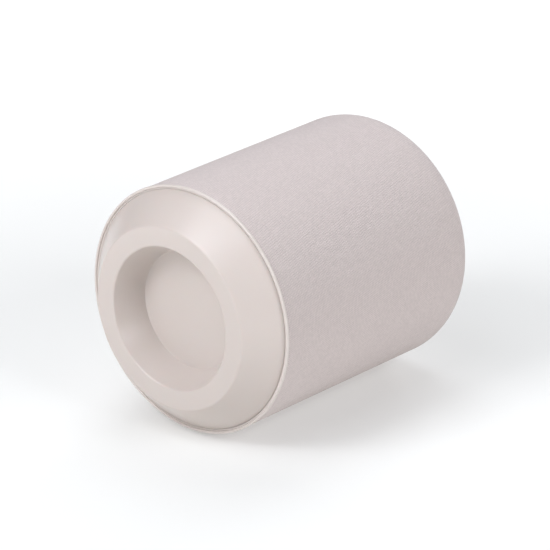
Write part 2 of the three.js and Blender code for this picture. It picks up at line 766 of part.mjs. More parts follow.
const RADIATOR_X = REAR_FLANGE_X - GAP;
const RADIATOR_LAND_RADIUS = 28.2;
const RADIATOR_FRAME_THICKNESS = 1.5;
const RADIATOR_LAND_X = RADIATOR_X - RADIATOR_FRAME_THICKNESS - GAP;

// ---------- electronics ----------

// Board with its largest components, given by their middles, sizes along X and Z, and heights.
function mainBoard() {
  const board = box(-21, 12, BOARD_INNER_Y, BOARD_OUTER_Y, -15, 15);
  const components = [
    { x: -4.5, z: -8.5, length: 7, width: 7, height: 1.4 }, // amplifier
    { x: -13.5, z: 6.5, length: 5, width: 5, height: 1.1 }, // charge controller
    { x: -12, z: -5, length: 4, width: 4, height: 2.6 }, // inductor
    { x: 8, z: 0, length: 4, width: 6, height: 1.8 }, // ribbon connector
  ];
  const chips = components.map(({ x, z, length, width, height }) =>
    box(
      x - length / 2,
      x + length / 2,
      BOARD_INNER_Y - height,
      BOARD_INNER_Y + 0.5,
      z - width / 2,
      z + width / 2,
    ),
  );
  const holes = BOARD_SCREWS.map(({ x, z }) =>
    rodAlongY(x, z, SCREW_HOLE_RADIUS, BOARD_INNER_Y - 1, BOARD_OUTER_Y + 1),
  );
  return cut(joined([board, ...chips]), holes);
}

function mainBoardScrew({ x, z }) {
  const headY = BOARD_INNER_Y - GAP;
  const tipY = 30.2;
  const upright = screw(-headY, -tipY).rotateZ(-Math.PI / 2);
  return upright.translate(x, 0, z);
}

function usbSocket() {
  const seat = BOARD_OUTER_Y + GAP;
  const base = box(USB_X - 5, USB_X + 5, seat, seat + 2.6, -2.6, 2.6);
  const shell = slotAlongY(USB_X, 0, USB_SHELL.length, USB_SHELL.width, seat, SOCKET_MOUTH_Y);
  const cavityLength = USB_SHELL.length - 2 * USB_WALL;
  const cavityWidth = USB_SHELL.width - 2 * USB_WALL;
  const cavity = slotAlongY(USB_X, 0, cavityLength, cavityWidth, seat + 3, SOCKET_MOUTH_Y + 1);
  const tongue = box(USB_X - 3.3, USB_X + 3.3, seat + 2.5, SOCKET_MOUTH_Y - 0.7, -0.35, 0.35);
  return joined([cut(joined([base, shell]), [cavity]), tongue]);
}

function auxJack() {
  const seat = BOARD_OUTER_Y + GAP;
  const base = box(AUX_X - 3.5, AUX_X + 3.5, seat, seat + 3.6, -3.3, 3.3);
  const boreRadius = 1.8;
  const barrel = rodAlongY(AUX_X, 0, AUX_BARREL_RADIUS, seat, SOCKET_MOUTH_Y, AUX_STEPS);
  const bore = rodAlongY(AUX_X, 0, boreRadius, seat + 1.2, SOCKET_MOUTH_Y + 1, KEY_STEPS);
  return cut(joined([base, barrel]), [bore]);
}

// Slot-shaped frame round the pocket, with a floor that the sockets come up through.
function portBezel() {
  const back = ENCLOSURE_RADIUS + GAP;
  const floor = back + 1.5;
  const block = slotAlongY(PORT_X, 0, BEZEL_LENGTH, BEZEL_WIDTH, back, PORT_FACE_Y);
  const pocketLength = FLAP_LENGTH + 2 * GAP;
  const pocket = slotAlongY(PORT_X, 0, pocketLength, FLAP_WIDTH + 2 * GAP, floor, CUT_TO_RADIUS);
  return cut(block, [pocket, ...socketHoles()]);
}

// Silicone door with two blunt plugs behind it and a lip to pull it open by.
function portFlap() {
  const back = PORT_FACE_Y - 1.6;
  const door = slotAlongY(PORT_X, 0, FLAP_LENGTH, FLAP_WIDTH, back, PORT_FACE_Y);
  const usbPlug = slotAlongY(USB_X, 0, 7.4, 1.8, back - 1.1, back + 0.5);
  const auxPlug = rodAlongY(AUX_X, 0, 1.4, back - 1.1, back + 0.5);
  const lip = box(PORT_X - 4, PORT_X + 4, PORT_FACE_Y - 0.5, PORT_FACE_Y + 0.4, 3.6, 4.6);
  return joined([door, usbPlug, auxPlug, lip]);
}

// U-shaped tray across the enclosure behind the pack.
const BATTERY = { fromX: -9.5, toX: -0.5, fromY: -22, toY: 18, halfZ: 17 };

function batteryPack() {
  const { fromX, toX, fromY, toY, halfZ } = BATTERY;
  const cell = box(fromX, toX, fromY, toY - 3, -halfZ, halfZ);
  const circuit = box(fromX + 2, toX - 2, toY - 4, toY, -halfZ + 2, halfZ - 2);
  return joined([cell, circuit]);
}

function batteryTray() {
  const { fromX, fromY, toY, halfZ } = BATTERY;
  const wall = 1.5;
  const front = fromX - GAP;
  const back = front - wall;
  const inner = halfZ + GAP;
  const outer = inner + wall;
  const floor = box(back, front, fromY - 1, toY, -outer, outer);
  const upper = box(back, -3, fromY + 4, toY - 4, inner, outer);
  const lower = box(back, -3, fromY + 4, toY - 4, -outer, -inner);
  const endStop = box(back, -4, fromY - GAP - wall, fromY - GAP, -10, 10);
  return joined([floor, upper, lower, endStop]);
}

// Ribbon from under the key board, over the enclosure and through its wall to the main board.
function keyFlex() {
  const underBoardX = KEY_BOARD_X - 0.5;
  const onBoardY = BOARD_OUTER_Y + 0.5;
  const route = [
    [underBoardX, 19.5],
    [underBoardX, 32.6],
    [41.6, 34],
    [40.2, 35.4],
    [38.6, FLEX_RADIUS],
    [15.6, FLEX_RADIUS],
    [14.1, 35.2],
    [FLEX_SLOT_X, 33.8],
    [FLEX_SLOT_X, 29.4],
    [12.9, 28.1],
    [11.4, onBoardY],
    [5, onBoardY],
  ];
  return ribbon(route, 0.36, 2 * FLEX_HALF_WIDTH);
}

// ---------- assembly ----------

add("base_cap", baseCap(), ivory);
add("trim_ring", trimRing(), ringIvory);
add("fabric_sleeve", fabricSleeve(), fabric);
add("grille_tube", grilleTube(), innerPlastic);
add("foot_strip", footStrip(), silicone);

add("control_panel", controlPanel(), ivory);
add("panel_trim", panelTrim(), ringIvory);
for (const { name, radius, circle, degrees } of KEYS) {
  add(`${name}_key`, atAngle(key(radius), circle, degrees), silicone);
  add(`${name}_switch`, atAngle(tactSwitch(), circle, degrees), steel);
}
add("key_board", keyBoard(), boardGreen);
add("status_light_guide", atAngle(lightGuide(), LIGHT.circle, LIGHT.degrees), clearPlastic);
const led = box(KEY_BOARD_SEAT_X, KEY_BOARD_SEAT_X + 0.8, -0.8, 0.8, -0.5, 0.5);
add("status_led", atAngle(led, LIGHT.circle, LIGHT.degrees), clearPlastic);
const microphone = box(KEY_BOARD_SEAT_X, KEY_BOARD_SEAT_X + 1.1, -1.9, 1.9, -1.5, 1.5);
add("microphone", atAngle(microphone, MICROPHONE.circle, MICROPHONE.degrees), steel);
BOARD_SCREW_ANGLES.forEach((degrees, i) => {
  const fastener = screw(KEY_BOARD_X - GAP, PANEL_BACK_X - 0.8);
  add(`key_board_screw_${i + 1}`, atAngle(fastener, BOARD_SCREW_CIRCLE, degrees), zinc);
});
add("sound_deflector", soundDeflector(), innerPlastic);
DEFLECTOR_SCREW_ANGLES.forEach((degrees, i) => {
  const fastener = screw(PANEL_LEDGE_BACK_X - 2, PANEL_BACK_X - 0.7);
  add(`deflector_screw_${i + 1}`, atAngle(fastener, DEFLECTOR_SCREW_CIRCLE, degrees), zinc);
});

add("enclosure", enclosure(), innerPlastic);
add("driver_basket", driverBasket(), steel);
const topPlate = ring(COIL_OUTER_RADIUS + 0.5, 17, PLATE_X, PLATE_X + PLATE_THICKNESS, INNER_STEPS);
add("driver_top_plate", topPlate, steel);
add("driver_magnet", ring(10.5, 19.5, MAGNET_X, PLATE_X - GAP, INNER_STEPS), ferrite);
add("driver_yoke", driverYoke(), steel);
add("voice_coil", ring(COIL_INNER_RADIUS, COIL_OUTER_RADIUS, 13.5, 24.4, INNER_STEPS), copper);
add("spider", spider(), spiderCloth);
add("driver_cone", driverCone(), paper);
add("dust_cap", dustCap(), paper);
add("driver_surround", halfRoll(17.6, 19.6, 24.1, 26.5, FLANGE_X + 1.3, 0.4, 1), rubber);
add("driver_gasket", ring(24.6, 26.6, FLANGE_X + 2.1, FLANGE_X + 2.9, INNER_STEPS), rubber);
DRIVER_SCREW_ANGLES.forEach((degrees, i) => {
  const fastener = screw(FLANGE_X + 1.3, 26.6);
  add(`driver_screw_${i + 1}`, atAngle(fastener, DRIVER_SCREW_CIRCLE, degrees), zinc);
});

const radiatorFrame = ring(25.2, 34.5, RADIATOR_X - RADIATOR_FRAME_THICKNESS, RADIATOR_X, INNER_STEPS);
add("radiator_frame", radiatorFrame, steel);
const radiatorSurround = halfRoll(18.6, 20.6, 25.4, RADIATOR_LAND_RADIUS, RADIATOR_LAND_X, 0.5, -1);
add("radiator_surround", radiatorSurround, rubber);
add("radiator_disc", disc(20.4, RADIATOR_LAND_X + GAP, RADIATOR_X - GAP, INNER_STEPS), innerPlastic);
add("radiator_weight", disc(12, RADIATOR_X, RADIATOR_X + 2.4, INNER_STEPS), steel);
const clampRing = ring(25.9, RADIATOR_LAND_RADIUS, RADIATOR_LAND_X - 1.8, RADIATOR_LAND_X - 0.8, INNER_STEPS);
add("radiator_clamp_ring", clampRing, innerPlastic);

add("main_board", mainBoard(), boardGreen);
BOARD_SCREWS.forEach((place, i) => add(`main_board_screw_${i + 1}`, mainBoardScrew(place), zinc));
const moduleY = BOARD_OUTER_Y + GAP;
add("bluetooth_module", box(-12, 2, moduleY, moduleY + 1.8, -13.4, -5), steel);
add("usb_c_socket", usbSocket(), steel);
add("aux_jack", auxJack(), innerPlastic);
add("port_bezel", portBezel(), ivory);
add("port_flap", portFlap(), silicone);
add("battery_pack", batteryPack(), cellWrap);
add("battery_tray", batteryTray(), innerPlastic);
const LEAD_RADIUS = 0.6;
const speakerLeadRoute = [
  [6, 24.4, -13],
  [13, 23.6, -12],
  [19, 24.2, -9],
  [23.2, 22.8, -6],
];
add("speaker_lead", leadTube(speakerLeadRoute, LEAD_RADIUS), leadWrap);
const batteryLeadRoute = [
  [-5, 19, 8],
  [-5, 21.4, 9.6],
  [-3.4, 23.6, 10.4],
  [-2, 24.5, 10.4],
];
add("battery_lead", leadTube(batteryLeadRoute, LEAD_RADIUS), leadWrap);
add("key_flex", keyFlex(), flexAmber);

const speaker = new THREE.Group();
speaker.add(body);

export default speaker;
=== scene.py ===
"""Looks of a fabric-covered portable speaker lying on its side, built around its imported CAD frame.

The can's axis is the frame's X axis, raised by AXIS_Z. Lengths inside the script are in millimetres
and are turned into metres where a mesh is made. Outlines are lists of (radius, x, rounding).
"""

import json
import math

import bmesh
import bpy
from mathutils import Matrix, Vector


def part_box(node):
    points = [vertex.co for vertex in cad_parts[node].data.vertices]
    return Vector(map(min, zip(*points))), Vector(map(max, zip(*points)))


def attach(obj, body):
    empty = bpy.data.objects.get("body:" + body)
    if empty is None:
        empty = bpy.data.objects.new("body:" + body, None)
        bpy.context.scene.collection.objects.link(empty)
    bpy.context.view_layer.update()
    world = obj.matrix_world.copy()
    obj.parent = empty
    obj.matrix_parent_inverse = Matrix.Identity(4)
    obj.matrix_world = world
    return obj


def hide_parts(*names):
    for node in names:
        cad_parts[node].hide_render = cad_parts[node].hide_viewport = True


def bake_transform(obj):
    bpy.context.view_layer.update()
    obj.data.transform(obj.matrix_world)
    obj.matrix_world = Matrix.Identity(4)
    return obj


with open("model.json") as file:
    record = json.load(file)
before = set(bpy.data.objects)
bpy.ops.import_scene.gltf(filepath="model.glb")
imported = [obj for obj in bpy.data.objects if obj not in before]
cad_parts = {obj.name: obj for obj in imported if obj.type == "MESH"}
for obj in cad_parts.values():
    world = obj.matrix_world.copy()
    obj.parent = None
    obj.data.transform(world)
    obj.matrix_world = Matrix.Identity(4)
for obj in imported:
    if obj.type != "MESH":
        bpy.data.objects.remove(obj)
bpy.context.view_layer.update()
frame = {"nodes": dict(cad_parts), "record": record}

MM = 0.001
ROUND = 256  # segments of a large turned piece
SMALL_ROUND = 64


# ---------- measures taken from the frame, in millimetres ----------

def node_box(node):
    low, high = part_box(node)
    return low / MM, high / MM


def node_span_x(node):
    low, high = node_box(node)
    return low.x, high.x


ring_low, ring_high = node_box("trim_ring")
cap_low, cap_high = node_box("base_cap")
sleeve_low, sleeve_high = node_box("fabric_sleeve")
panel_low, panel_high = node_box("control_panel")
panel_trim_low, panel_trim_high = node_box("panel_trim")
bezel_low, bezel_high = node_box("port_bezel")
flap_low, flap_high = node_box("port_flap")
foot_low, foot_high = node_box("foot_strip")

BODY_RADIUS = (ring_high.y - ring_low.y) / 2
AXIS_Z = ring_high.z - BODY_RADIUS
CAP_FACE_X = cap_low.x
CAP_HEIGHT = 9.9  # cap face to trim ring plane
CAP_WALL = 2.0
CAP_BASE_RADIUS = 38.5
CAP_FACE_RADIUS = 29.5
RECESS_MOUTH_RADIUS = 23.1
RECESS_FLOOR_RADIUS = 19.0
RECESS_DEPTH = 10.14
RING_X = CAP_FACE_X + CAP_HEIGHT
RING_FRONT_X = RING_X - 0.45
RING_BACK_X = RING_X + 0.35
END_X = sleeve_high.x
SLEEVE_RADIUS = (sleeve_high.y - sleeve_low.y) / 2
SLEEVE_THICKNESS = 0.6
SHOULDER_RADIUS = 9.6
SHOULDER_CENTRE = SLEEVE_RADIUS - SHOULDER_RADIUS
SHOULDER_X = END_X - SHOULDER_RADIUS
PLUG_RADIUS = 36.8  # what slides into the grille tube
PANEL_RADIUS = (panel_high.y - panel_low.y) / 2
PANEL_X = panel_high.x
PANEL_THICKNESS = 2
BOARD_SCREW_CIRCLE = 22.6
BOARD_SCREW_ANGLES = (45, 135, 225)
KEY_LIP = 0.8  # width and thickness of the rim that holds a key under the panel
KEY_DISH = 0.16
PORT_X = (bezel_low.x + bezel_high.x) / 2
PORT_FACE_Y = bezel_high.y
FLAP_WIDTH = 10.0
CUT_FROM = 30  # y at which cutters at the port start
SLEEVE_CUT_TO = 45
BEZEL_CUT_TO = 40
GAP = 0.3

BODY = "speaker_body"
KEYS = ("play", "mode", "minus", "power", "plus")


# ---------- mesh helpers ----------

def new_piece(name, vertices, faces, smooth_angle=40):
    mesh = bpy.data.meshes.new(name)
    mesh.from_pydata([Vector(v) * MM for v in vertices], [], faces)
    work = bmesh.new()
    work.from_mesh(mesh)
    bmesh.ops.recalc_face_normals(work, faces=work.faces)
    work.to_mesh(mesh)
    work.free()
    piece = bpy.data.objects.new(name, mesh)
    bpy.context.scene.collection.objects.link(piece)
    shade(piece, smooth_angle)
    return piece


def shade(piece, smooth_angle=40):
    piece.data.shade_smooth()
    piece.data.set_sharp_from_angle(angle=math.radians(smooth_angle))


def rounded(corners, closed, steps=6):
    """The outline's points, with each corner of (radius, x, rounding) replaced by an arc."""
    points = []
    count = len(corners)
    for i, (r, x, rounding) in enumerate(corners):
        end_of_open = not closed and i in (0, count - 1)
        if rounding == 0 or end_of_open:
            points.append((r, x))
            continue
        here = Vector((r, x))
        to_before = (Vector(corners[i - 1][:2]) - here).normalized()
        to_after = (Vector(corners[(i + 1) % count][:2]) - here).normalized()
        corner_angle = to_before.angle(to_after)
        centre = here + (to_before + to_after).normalized() * rounding / math.sin(corner_angle / 2)
        reach = rounding / math.tan(corner_angle / 2)
        start = here + to_before * reach - centre
        end = here + to_after * reach - centre
        start_angle = math.atan2(start.y, start.x)
        sweep = math.remainder(math.atan2(end.y, end.x) - start_angle, 2 * math.pi)
        for step in range(steps + 1):
            angle = start_angle + sweep * step / steps
            points.append((centre.x + rounding * math.cos(angle), centre.y + rounding * math.sin(angle)))
    return points


def arc(centre_r, centre_x, radius, from_degrees, to_degrees, steps):
    points = []
    for step in range(steps + 1):
        angle = math.radians(from_degrees + (to_degrees - from_degrees) * step / steps)
        points.append((centre_r + radius * math.cos(angle), centre_x + radius * math.sin(angle)))
    return points


def turned(name, outline, closed=True, segments=ROUND, centre=(0, None), smooth_angle=40):
    """A piece turned round a line along X. An open outline starts and ends on that line."""
    centre_y = centre[0]
    centre_z = AXIS_Z if centre[1] is None else centre[1]
    vertices, rings = [], []
    for r, x in outline:
        if r < 1e-6:
            rings.append([len(vertices)] * segments)
            vertices.append((x, centre_y, centre_z))
            continue
        rings.append(list(range(len(vertices), len(vertices) + segments)))
        for i in range(segments):
            angle = 2 * math.pi * i / segments
            vertices.append((x, centre_y + r * math.cos(angle), centre_z + r * math.sin(angle)))
    faces = []
    pairs = list(zip(rings, rings[1:]))
    if closed:
        pairs.append((rings[-1], rings[0]))
    for first, second in pairs:
        for i in range(segments):
            j = (i + 1) % segments
            corners = [first[i], first[j], second[j], second[i]]
            face = list(dict.fromkeys(corners))
            if len(face) > 2:
                faces.append(face)
    return new_piece(name, vertices, faces, smooth_angle)


def slot_ring(x, z, length, width, y, steps=16):
    """Points of a slot-shaped outline with its long side along X, at one y."""
    radius = width / 2
    straight = length / 2 - radius
    points = []
    for side in (1, -1):
        for step in range(steps + 1):
            angle = -math.pi / 2 + math.pi * step / steps
            along = straight + radius * math.cos(angle)
            points.append((x + side * along, y, z + side * radius * math.sin(angle)))
    return points


def slot_piece(name, x, z, length, width, stations, closed=False, steps=16, smooth_angle=40):
    """A slot-shaped piece lofted through (inset, y) stations; closed stations make a frame."""
    vertices, rings = [], []
    for inset, y in stations:
        ring = slot_ring(x, z, length - 2 * inset, width - 2 * inset, y, steps)
        rings.append(list(range(len(vertices), len(vertices) + len(ring))))
        vertices.extend(ring)
    faces = []
    pairs = list(zip(rings, rings[1:]))
    if closed:
        pairs.append((rings[-1], rings[0]))
    else:
        faces.append(list(reversed(rings[0])))
        faces.append(rings[-1])
    for first, second in pairs:
        for i in range(len(first)):
            j = (i + 1) % len(first)
            faces.append([first[i], first[j], second[j], second[i]])
    return new_piece(name, vertices, faces, smooth_angle)


def box_piece(name, low, high, bevel=0.0):
    (x0, y0, z0), (x1, y1, z1) = low, high
    vertices = [(x, y, z) for x in (x0, x1) for y in (y0, y1) for z in (z0, z1)]
    faces = [(0, 1, 3, 2), (4, 6, 7, 5), (0, 4, 5, 1), (2, 3, 7, 6), (0, 2, 6, 4), (1, 5, 7, 3)]
    piece = new_piece(name, vertices, faces)
    if bevel:
        add_bevel(piece, bevel)
    return piece


def apply_modifiers(piece):
    evaluated = piece.evaluated_get(bpy.context.evaluated_depsgraph_get())
    mesh = bpy.data.meshes.new_from_object(evaluated)
    piece.modifiers.clear()
    piece.data = mesh


def add_bevel(piece, width, segments=3):
    modifier = piece.modifiers.new("bevel", "BEVEL")
    modifier.width = width * MM
    modifier.segments = segments
    modifier.angle_limit = math.radians(40)
    bpy.context.view_layer.update()
    apply_modifiers(piece)
    shade(piece)


def combine(piece, others, operation, smooth_angle=40):
    """Cuts the others out of the piece, or joins them to it, and removes them."""
    for other in others:
        modifier = piece.modifiers.new("combine", "BOOLEAN")
        modifier.operation = operation
        modifier.solver = "EXACT"
        modifier.object = other
        bpy.context.view_layer.update()
        apply_modifiers(piece)
        bpy.data.objects.remove(other)
    shade(piece, smooth_angle)
    return piece


def cut(piece, cutters, smooth_angle=40):
    return combine(piece, cutters, "DIFFERENCE", smooth_angle)


def join(piece, additions, smooth_angle=40):
    return combine(piece, additions, "UNION", smooth_angle)


def place(piece, body, material, slot, *replaced):
    """Gives the piece its material and the body that it rides on, and hides the CAD nodes that it stands for.
    """
    piece.data.materials.clear()
    piece.data.materials.append(material)
    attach(piece, body)
    if replaced:
        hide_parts(*replaced)
    return piece


# ---------- material helpers ----------

class Recipe:
    """A material under construction: a Principled shader and short calls that add nodes to it."""

    def __init__(self, name, color, roughness, metallic=0.0):
        self.material = bpy.data.materials.new(name)
        self.material.use_nodes = True
        self.tree = self.material.node_tree
        self.shader = self.tree.nodes["Principled BSDF"]
        self.set("Base Color", (*color, 1))
        self.set("Roughness", roughness)
        self.set("Metallic", metallic)
        self.position = self.node("ShaderNodeTexCoord").outputs["Object"]

    def node(self, kind, **settings):
        made = self.tree.nodes.new(kind)
        for key, value in settings.items():
            setattr(made, key, value)
        return made

    def set(self, socket, value):
        self.shader.inputs[socket].default_value = value

    def link(self, source, target):
        self.tree.links.new(source, target)

    def math(self, operation, a, b=None):
        made = self.node("ShaderNodeMath", operation=operation)
        for socket, value in zip(made.inputs, (a, b)):
            if isinstance(value, bpy.types.NodeSocket):
                self.link(value, socket)
            elif value is not None:
                socket.default_value = value
        return made.outputs[0]

    def noise(self, scale, detail=3.0, roughness=0.5, vector=None):
        made = self.node("ShaderNodeTexNoise")
        made.inputs["Scale"].default_value = scale
        made.inputs["Detail"].default_value = detail
        made.inputs["Roughness"].default_value = roughness
        self.link(vector or self.position, made.inputs["Vector"])
        return made.outputs["Fac"]

    def between(self, fac, low, high):
        """A number that goes from low to high as fac goes from 0 to 1."""
        made = self.node("ShaderNodeMapRange")
        self.link(fac, made.inputs["Value"])
        made.inputs["To Min"].default_value = low
        made.inputs["To Max"].default_value = high
        return made.outputs["Result"]

    def color_between(self, fac, low, high):
        made = self.node("ShaderNodeMix", data_type="RGBA")
        self.link(fac, made.inputs["Factor"])
        made.inputs[6].default_value = (*low, 1)
        made.inputs[7].default_value = (*high, 1)
        return made.outputs[2]

    def bump(self, height, strength, distance_mm):
        made = self.node("ShaderNodeBump")
        made.inputs["Strength"].default_value = strength
        made.inputs["Distance"].default_value = distance_mm * MM
        self.link(height, made.inputs["Height"])
        self.link(made.outputs["Normal"], self.shader.inputs["Normal"])


def scaled(color, factor):
    return tuple(c * factor for c in color)


IVORY = (0.605, 0.534, 0.492)
RING_IVORY = (0.655, 0.588, 0.545)
FABRIC = (0.568, 0.494, 0.472)
SILICONE = (0.510, 0.452, 0.416)


def moulded_plastic(name, color, roughness, grain_mm=0.3, grain_strength=0.02, tint=0.02):
    """Moulded plastic: a fine spark-eroded grain, and slow changes of tone and gloss."""
    recipe = Recipe(name, color, roughness)
    slow = recipe.noise(55, detail=2)
    recipe.link(recipe.color_between(slow, scaled(color, 1 - tint), scaled(color, 1 + tint)),
                recipe.shader.inputs["Base Color"])
    recipe.link(recipe.between(recipe.noise(160, detail=2), roughness - 0.04, roughness + 0.05),
                recipe.shader.inputs["Roughness"])
    grain = recipe.noise(1 / (grain_mm * MM), detail=2, roughness=0.6)
    recipe.bump(grain, grain_strength, 0.05)
    return recipe


def ivory_plastic():
    recipe = moulded_plastic("ivory_plastic", IVORY, 0.32)
    recipe.set("Subsurface Weight", 0.06)
    recipe.set("Subsurface Scale", 1.5 * MM)
    return recipe.material


def trim_plastic():
    recipe = moulded_plastic("trim_plastic", RING_IVORY, 0.32)
    recipe.set("Coat Weight", 0.15)
    return recipe.material


WARP_COUNT = 356  # threads round the can, even so that over and under meet up again
WEFT_PITCH = 0.7
BIAS = 0.20  # how far the sleeve's threads are pulled round, per length
# how far the weave's colour is darkened in its dips (painted shade) and varied at random per thread
WEAVE_SHADE_AND_YARN_TONE = 0.14


def sleeve_weave():
    """Plain weave: threads along the can and round it, each over one and under one. Its colour has painted
    shade, darker where the threads dip under each other, plus a little random tone per thread.
    """
    recipe = Recipe("sleeve_weave", FABRIC, 0.88)
    parts = recipe.node("ShaderNodeSeparateXYZ")
    recipe.link(recipe.position, parts.inputs[0])
    x = parts.outputs["X"]
    height = recipe.math("SUBTRACT", parts.outputs["Z"], AXIS_Z * MM)
    around = recipe.math("ARCTAN2", height, parts.outputs["Y"])
    radius = recipe.math("SQRT", recipe.math("ADD", recipe.math("POWER", parts.outputs["Y"], 2.0),
                                             recipe.math("POWER", height, 2.0)))
    past_shoulder = recipe.math("SUBTRACT", x, SHOULDER_X * MM)
    from_centre = recipe.math("SUBTRACT", radius, SHOULDER_CENTRE * MM)
    shoulder_angle = recipe.math("MAXIMUM", recipe.math("ARCTAN2", past_shoulder, from_centre), 0.0)
    straight = recipe.math("MINIMUM", x, SHOULDER_X * MM)
    run = recipe.math("ADD", straight, recipe.math("MULTIPLY", shoulder_angle, SHOULDER_RADIUS * MM))
    weft = recipe.math("MULTIPLY", run, 1 / (WEFT_PITCH * MM))
    warp_pitch = 2 * math.pi * SLEEVE_RADIUS / WARP_COUNT
    warp = recipe.math("ADD", recipe.math("MULTIPLY", around, WARP_COUNT / (2 * math.pi)),
                       recipe.math("MULTIPLY", run, BIAS / (warp_pitch * MM)))
    warp_wave = recipe.math("SINE", recipe.math("MULTIPLY", warp, math.pi))
    weft_wave = recipe.math("SINE", recipe.math("MULTIPLY", weft, math.pi))
    over = recipe.math("MULTIPLY", warp_wave, weft_wave)
    warp_round = recipe.math("ABSOLUTE", warp_wave)
    weft_round = recipe.math("ABSOLUTE", weft_wave)
    warp_height = recipe.math("ADD", warp_round, over)
    weft_height = recipe.math("SUBTRACT", weft_round, over)
    cloth = recipe.math("MAXIMUM", warp_height, weft_height)
    fuzz = recipe.noise(5200, detail=3, roughness=0.7)
    shaded_height = recipe.math("ADD", cloth, recipe.math("MULTIPLY", fuzz, 0.5))
    recipe.bump(shaded_height, 0.55, 0.11)

    thread_tone = recipe.node("ShaderNodeTexWhiteNoise", noise_dimensions="2D")
    pair = recipe.node("ShaderNodeCombineXYZ")
    recipe.link(recipe.math("FLOOR", warp), pair.inputs[0])
    recipe.link(recipe.math("FLOOR", weft), pair.inputs[1])
    recipe.link(pair.outputs[0], thread_tone.inputs["Vector"])
    # painted shade: the cloth's height, so the colour is darker in the dips between crossing threads
    depth = recipe.between(cloth, 0.0, 1.0)
    # a fifth random tone per thread, four fifths painted shade from the weave's height
    tone = recipe.math("ADD", recipe.math("MULTIPLY", thread_tone.outputs["Value"], 0.2),
                       recipe.math("MULTIPLY", depth, 0.8))
    shade_color = scaled(FABRIC, 1 - 2 * WEAVE_SHADE_AND_YARN_TONE)
    light_color = scaled(FABRIC, 1 + WEAVE_SHADE_AND_YARN_TONE)
    recipe.link(recipe.color_between(tone, shade_color, light_color), recipe.shader.inputs["Base Color"])
    recipe.set("Sheen Weight", 0.12)
    recipe.set("Sheen Roughness", 0.5)
    return recipe.material


def silicone_rubber():
    recipe = moulded_plastic("silicone_rubber", SILICONE, 0.62, grain_mm=0.1, grain_strength=0.12)
    recipe.set("Subsurface Weight", 0.1)
    recipe.set("Subsurface Scale", 1.0 * MM)
    return recipe.material


def inner_plastic():
    color = (0.035, 0.036, 0.039)
    return moulded_plastic("inner_plastic", color, 0.55, grain_strength=0.15, tint=0.1).material


def clear_plastic():
    recipe = moulded_plastic("clear_plastic", (0.85, 0.87, 0.88), 0.12, grain_strength=0.01)
    recipe.set("Transmission Weight", 0.7)
    return recipe.material


def black_rubber():
    return moulded_plastic("black_rubber", (0.022, 0.022, 0.023), 0.7, grain_strength=0.2, tint=0.1).material


def cone_paper():
    recipe = Recipe("cone_paper", (0.05, 0.047, 0.043), 0.9)
    fibres = recipe.noise(900, detail=6, roughness=0.75)
    recipe.link(recipe.color_between(fibres, (0.035, 0.033, 0.03), (0.075, 0.07, 0.065)),
                recipe.shader.inputs["Base Color"])
    recipe.bump(fibres, 0.5, 0.15)
    return recipe.material


def circuit_board():
    recipe = Recipe("circuit_board", (0.02, 0.16, 0.08), 0.4)
    tracks = recipe.node("ShaderNodeTexVoronoi", distance="CHEBYCHEV", feature="F1")
    tracks.inputs["Scale"].default_value = 520
    recipe.link(recipe.position, tracks.inputs["Vector"])
    recipe.link(recipe.color_between(tracks.outputs["Distance"], (0.015, 0.12, 0.06), (0.05, 0.26, 0.13)),
                recipe.shader.inputs["Base Color"])
    recipe.bump(tracks.outputs["Distance"], 0.2, 0.05)
    recipe.set("Coat Weight", 0.4)
    return recipe.material


def metal_finish(name, color, roughness, grain):
    recipe = Recipe(name, color, roughness, metallic=1.0)
    streaks = recipe.noise(grain, detail=4, roughness=0.65)
    recipe.link(recipe.between(streaks, roughness - 0.08, roughness + 0.1), recipe.shader.inputs["Roughness"])
    recipe.bump(streaks, 0.08, 0.03)
    return recipe.material


def cell_wrap():
    recipe = moulded_plastic("cell_wrap", (0.03, 0.12, 0.34), 0.3,
                             grain_mm=0.8, grain_strength=0.3, tint=0.1)
    return recipe.material


def ferrite():
    recipe = moulded_plastic("ferrite", (0.05, 0.05, 0.052), 0.6,
                             grain_mm=0.3, grain_strength=0.5, tint=0.15)
    return recipe.material


MATERIALS = {
    "ivory_plastic": ivory_plastic(),
    "trim_plastic": trim_plastic(),
    "sleeve_fabric": sleeve_weave(),
    "silicone": silicone_rubber(),
    "inner_plastic": inner_plastic(),
    "clear_plastic": clear_plastic(),
    "black_rubber": black_rubber(),
    "cone_paper": cone_paper(),
    "circuit_board": circuit_board(),
    "pressed_steel": metal_finish("pressed_steel", (0.55, 0.56, 0.58), 0.38, 700),
    "ferrite": ferrite(),
    "copper_wire": metal_finish("copper_wire", (0.62, 0.29, 0.13), 0.35, 2500),
    "cell_wrap": cell_wrap(),
    "screw_steel": metal_finish("screw_steel", (0.66, 0.67, 0.69), 0.3, 1200),
}


SLOT_OF_NODE = {entry["node"]: entry["material_slot"] for entry in frame["record"]["subparts"]}


def finish_cad_nodes():
    for name, slot in SLOT_OF_NODE.items():
        materials = frame["nodes"][name].data.materials
        materials.clear()
        materials.append(MATERIALS[slot])


# ---------- camera, light and floor ----------

CAMERA_AZIMUTH = -49.0
CAMERA_ELEVATION = 22.1
CAMERA_DISTANCE = 1442.4
CAMERA_LENS = 301.5
AIM_RIGHT = -0.7
AIM_UP = -0.9
STUDIO_WHITE = (0.965, 0.988, 1.04)


